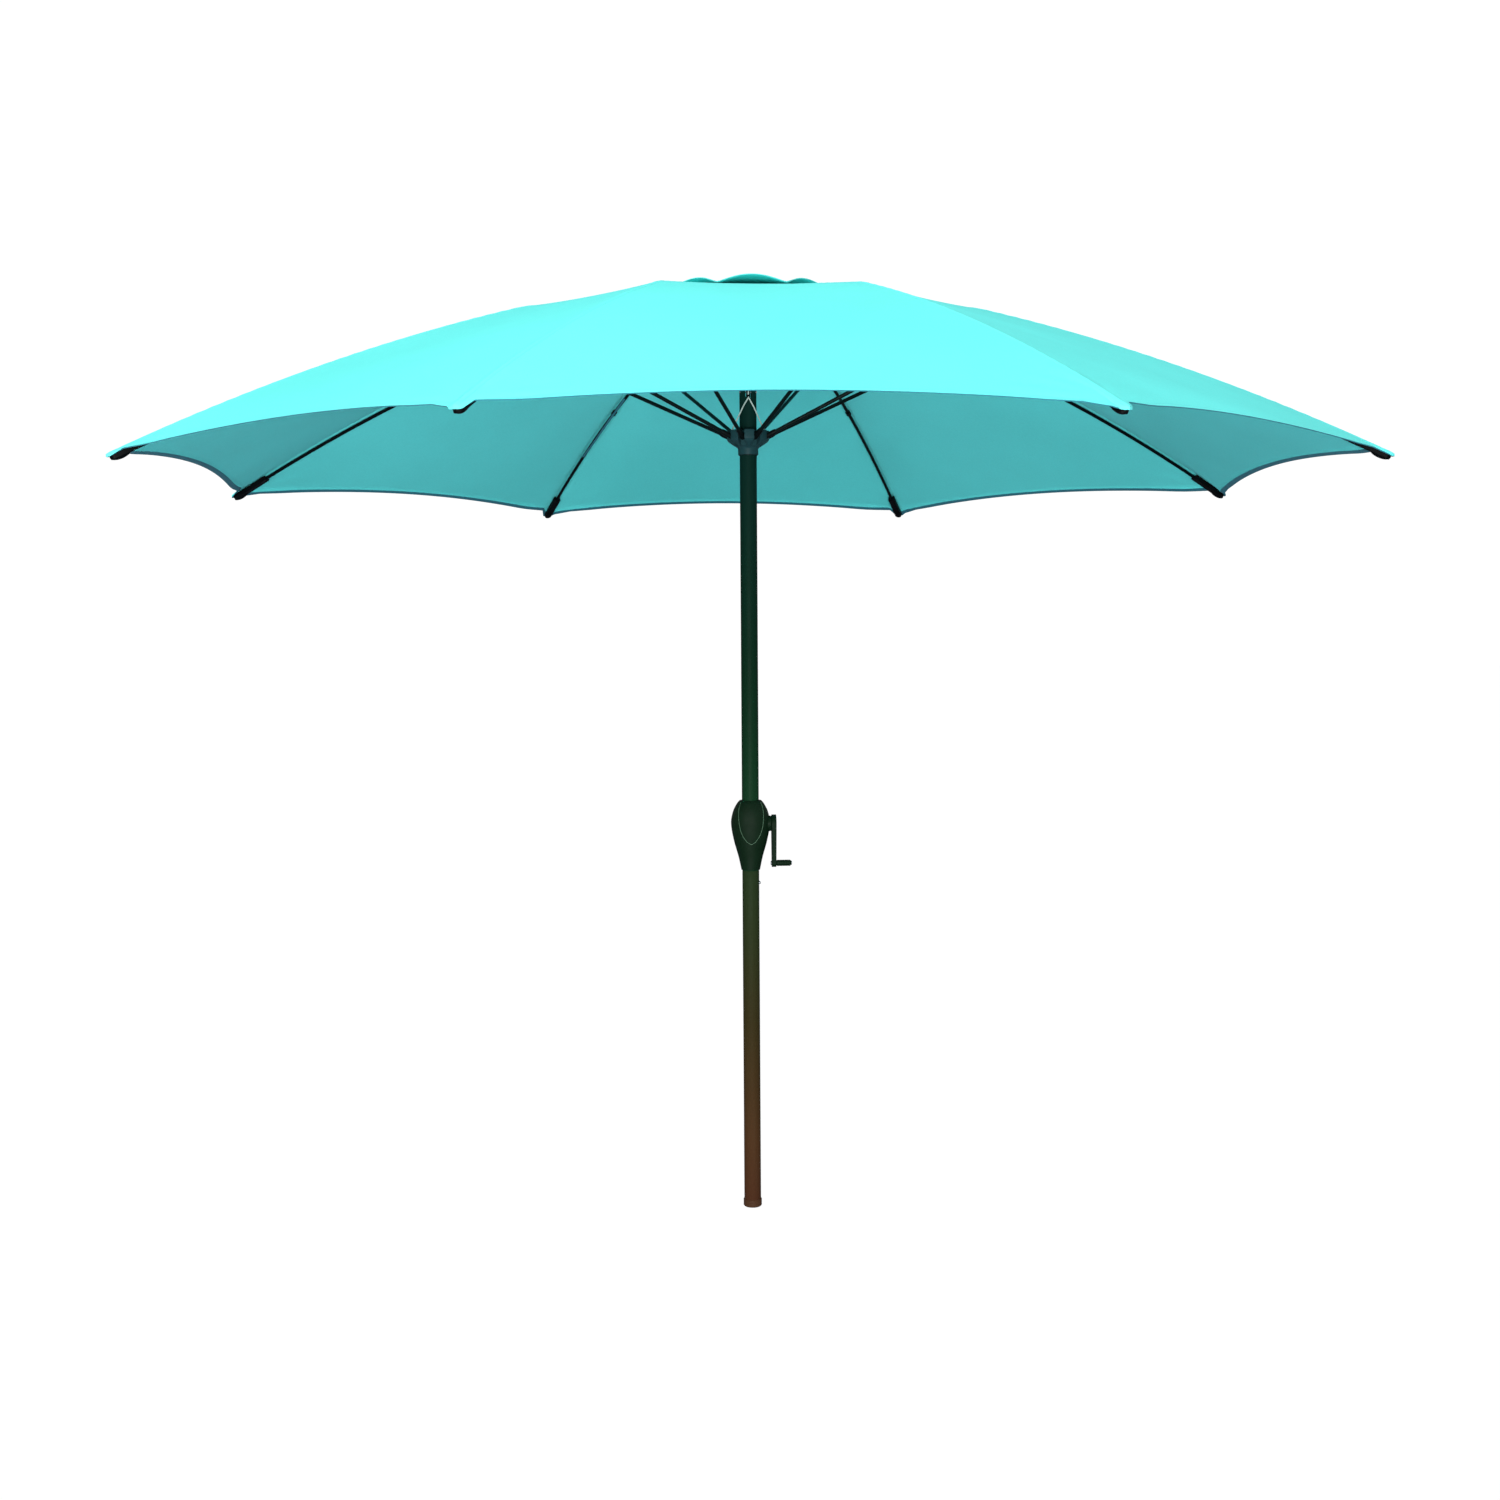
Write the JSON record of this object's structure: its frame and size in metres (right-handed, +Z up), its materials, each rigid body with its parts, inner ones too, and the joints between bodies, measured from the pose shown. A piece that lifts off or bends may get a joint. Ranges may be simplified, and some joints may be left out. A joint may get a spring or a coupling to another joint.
{
  "type": "beach umbrella",
  "caption": "Crank-lift parasol with a domed octagonal cloth canopy on curved ribs, folding struts, a sliding runner and a straight pole.",
  "frame": {"origin": "centre of the flat bottom of the pole's foot cap", "axes": "+Z up the pole, crank on the +X side, cord slot on the -Y side"},
  "size_m": [2.4898, 2.4898, 2.0828],
  "materials": {
    "canopy_cloth": "matte woven polyester, turquoise",
    "pole_paint": "glossy dark green powder coat",
    "lower_pole_paint": "glossy dark green to bronze powder coat",
    "black_plastic": "satin moulded black plastic",
    "case_plastic": "semi-gloss moulded dark green plastic",
    "rib_rod": "black pultruded glass-fibre rod, semi-gloss",
    "strut_tube": "black anodised tube",
    "cord": "braided pale polyester cord",
    "steel": "zinc plated steel"
  },
  "bodies": {
    "pole": {"lower_pole": "lower_pole_paint", "upper_pole": "pole_paint", "pole_foot": "black_plastic", "button_spring": "steel", "housing_front": "case_plastic", "housing_rear": "case_plastic", "housing_screw_left": "steel", "housing_screw_right": "steel", "pulley_pin": "steel", "top_hub": "black_plastic", "top_cap": "black_plastic", "lift_cord": "cord"},
    "runner": {"runner": "black_plastic", "cord_loop": "cord"},
    "crank": {"crank_shaft": "steel", "crank_arm": "case_plastic", "grip_pin": "steel"},
    "grip": {"crank_grip": "case_plastic"},
    "pulley": {"top_pulley": "steel"},
    "button": {"snap_button": "steel"},
    "rib_arm_1": {"rib_1": "rib_rod", "rib_bracket_1": "black_plastic", "tip_pocket_1": "black_plastic", "canopy_gore_1": "canopy_cloth"},
    "strut_arm_1": {"strut_1": "strut_tube"},
    "rib_arm_2": {"rib_2": "rib_rod", "rib_bracket_2": "black_plastic", "tip_pocket_2": "black_plastic", "canopy_gore_2": "canopy_cloth"},
    "strut_arm_2": {"strut_2": "strut_tube"},
    "rib_arm_3": {"rib_3": "rib_rod", "rib_bracket_3": "black_plastic", "tip_pocket_3": "black_plastic", "canopy_gore_3": "canopy_cloth"},
    "strut_arm_3": {"strut_3": "strut_tube"},
    "rib_arm_4": {"rib_4": "rib_rod", "rib_bracket_4": "black_plastic", "tip_pocket_4": "black_plastic", "canopy_gore_4": "canopy_cloth"},
    "strut_arm_4": {"strut_4": "strut_tube"},
    "rib_arm_5": {"rib_5": "rib_rod", "rib_bracket_5": "black_plastic", "tip_pocket_5": "black_plastic", "canopy_gore_5": "canopy_cloth"},
    "strut_arm_5": {"strut_5": "strut_tube"},
    "rib_arm_6": {"rib_6": "rib_rod", "rib_bracket_6": "black_plastic", "tip_pocket_6": "black_plastic", "canopy_gore_6": "canopy_cloth"},
    "strut_arm_6": {"strut_6": "strut_tube"},
    "rib_arm_7": {"rib_7": "rib_rod", "rib_bracket_7": "black_plastic", "tip_pocket_7": "black_plastic", "canopy_gore_7": "canopy_cloth"},
    "strut_arm_7": {"strut_7": "strut_tube"},
    "rib_arm_8": {"rib_8": "rib_rod", "rib_bracket_8": "black_plastic", "tip_pocket_8": "black_plastic", "canopy_gore_8": "canopy_cloth"},
    "strut_arm_8": {"strut_8": "strut_tube"}
  },
  "joints": [
    {"name": "runner_slide", "type": "slide", "parent": "pole", "child": "runner", "axis": [0, 0, -1], "range_m": [0, 0.70858], "deforming": ["cord_loop", "canopy_gore_1", "canopy_gore_2", "canopy_gore_3", "canopy_gore_4", "canopy_gore_5", "canopy_gore_6", "canopy_gore_7", "canopy_gore_8"]},
    {"name": "rib_hinge_1", "type": "hinge", "parent": "pole", "child": "rib_arm_1", "pos_m": [0.03696, 0.01531, 2.05386], "axis": [-0.3827, 0.9239, 0], "range_deg": [0, 70]},
    {"name": "strut_hinge_1", "type": "hinge", "parent": "rib_arm_1", "child": "strut_arm_1", "pos_m": [0.4896, 0.2028, 1.96249], "axis": [-0.3827, 0.9239, 0], "range_deg": [-130, 0]},
    {"name": "rib_hinge_2", "type": "hinge", "parent": "pole", "child": "rib_arm_2", "pos_m": [0.01531, 0.03696, 2.05386], "axis": [-0.9239, 0.3827, 0], "range_deg": [0, 70]},
    {"name": "strut_hinge_2", "type": "hinge", "parent": "rib_arm_2", "child": "strut_arm_2", "pos_m": [0.2028, 0.4896, 1.96249], "axis": [-0.9239, 0.3827, 0], "range_deg": [-130, 0]},
    {"name": "rib_hinge_3", "type": "hinge", "parent": "pole", "child": "rib_arm_3", "pos_m": [-0.01531, 0.03696, 2.05386], "axis": [-0.9239, -0.3827, 0], "range_deg": [0, 70]},
    {"name": "strut_hinge_3", "type": "hinge", "parent": "rib_arm_3", "child": "strut_arm_3", "pos_m": [-0.2028, 0.4896, 1.96249], "axis": [-0.9239, -0.3827, 0], "range_deg": [-130, 0]},
    {"name": "rib_hinge_4", "type": "hinge", "parent": "pole", "child": "rib_arm_4", "pos_m": [-0.03696, 0.01531, 2.05386], "axis": [-0.3827, -0.9239, 0], "range_deg": [0, 70]},
    {"name": "strut_hinge_4", "type": "hinge", "parent": "rib_arm_4", "child": "strut_arm_4", "pos_m": [-0.4896, 0.2028, 1.96249], "axis": [-0.3827, -0.9239, 0], "range_deg": [-130, 0]},
    {"name": "rib_hinge_5", "type": "hinge", "parent": "pole", "child": "rib_arm_5", "pos_m": [-0.03696, -0.01531, 2.05386], "axis": [0.3827, -0.9239, 0], "range_deg": [0, 70]},
    {"name": "strut_hinge_5", "type": "hinge", "parent": "rib_arm_5", "child": "strut_arm_5", "pos_m": [-0.4896, -0.2028, 1.96249], "axis": [0.3827, -0.9239, 0], "range_deg": [-130, 0]},
    {"name": "rib_hinge_6", "type": "hinge", "parent": "pole", "child": "rib_arm_6", "pos_m": [-0.01531, -0.03696, 2.05386], "axis": [0.9239, -0.3827, 0], "range_deg": [0, 70]},
    {"name": "strut_hinge_6", "type": "hinge", "parent": "rib_arm_6", "child": "strut_arm_6", "pos_m": [-0.2028, -0.4896, 1.96249], "axis": [0.9239, -0.3827, 0], "range_deg": [-130, 0]},
    {"name": "rib_hinge_7", "type": "hinge", "parent": "pole", "child": "rib_arm_7", "pos_m": [0.01531, -0.03696, 2.05386], "axis": [0.9239, 0.3827, 0], "range_deg": [0, 70]},
    {"name": "strut_hinge_7", "type": "hinge", "parent": "rib_arm_7", "child": "strut_arm_7", "pos_m": [0.2028, -0.4896, 1.96249], "axis": [0.9239, 0.3827, 0], "range_deg": [-130, 0]},
    {"name": "rib_hinge_8", "type": "hinge", "parent": "pole", "child": "rib_arm_8", "pos_m": [0.03696, -0.01531, 2.05386], "axis": [0.3827, 0.9239, 0], "range_deg": [0, 70]},
    {"name": "strut_hinge_8", "type": "hinge", "parent": "rib_arm_8", "child": "strut_arm_8", "pos_m": [0.4896, -0.2028, 1.96249], "axis": [0.3827, 0.9239, 0], "range_deg": [-130, 0]},
    {"name": "crank_turn", "type": "hinge", "parent": "pole", "child": "crank", "pos_m": [0.047, 0, 0.877], "axis": [1, 0, 0], "range_deg": [0, 7201]},
    {"name": "grip_spin", "type": "hinge", "parent": "crank", "child": "grip", "pos_m": [0.075, 0, 0.787], "axis": [1, 0, 0], "continuous": true},
    {"name": "pulley_turn", "type": "hinge", "parent": "pole", "child": "pulley", "pos_m": [0, -0.006, 1.838], "axis": [-1, 0, 0], "range_deg": [0, 7201]},
    {"name": "button_press", "type": "slide", "parent": "pole", "child": "button", "axis": [-1, 0, 0], "range_m": [0, 0.006], "stiffness_N_per_m": 900, "springref_m": -0.003, "deforming": ["button_spring"]}
  ],
  "couplings": [
    {"joint": "rib_hinge_1", "follows": "runner_slide", "rad_per_m": 1.7119},
    {"joint": "strut_hinge_1", "follows": "runner_slide", "rad_per_m": -3.0938},
    {"joint": "rib_hinge_2", "follows": "runner_slide", "rad_per_m": 1.7119},
    {"joint": "strut_hinge_2", "follows": "runner_slide", "rad_per_m": -3.0938},
    {"joint": "rib_hinge_3", "follows": "runner_slide", "rad_per_m": 1.7119},
    {"joint": "strut_hinge_3", "follows": "runner_slide", "rad_per_m": -3.0938},
    {"joint": "rib_hinge_4", "follows": "runner_slide", "rad_per_m": 1.7119},
    {"joint": "strut_hinge_4", "follows": "runner_slide", "rad_per_m": -3.0938},
    {"joint": "rib_hinge_5", "follows": "runner_slide", "rad_per_m": 1.7119},
    {"joint": "strut_hinge_5", "follows": "runner_slide", "rad_per_m": -3.0938},
    {"joint": "rib_hinge_6", "follows": "runner_slide", "rad_per_m": 1.7119},
    {"joint": "strut_hinge_6", "follows": "runner_slide", "rad_per_m": -3.0938},
    {"joint": "rib_hinge_7", "follows": "runner_slide", "rad_per_m": 1.7119},
    {"joint": "strut_hinge_7", "follows": "runner_slide", "rad_per_m": -3.0938},
    {"joint": "rib_hinge_8", "follows": "runner_slide", "rad_per_m": 1.7119},
    {"joint": "strut_hinge_8", "follows": "runner_slide", "rad_per_m": -3.0938},
    {"joint": "crank_turn", "follows": "runner_slide", "rad_per_m": 177.35},
    {"joint": "pulley_turn", "follows": "runner_slide", "rad_per_m": 177.35}
  ]
}
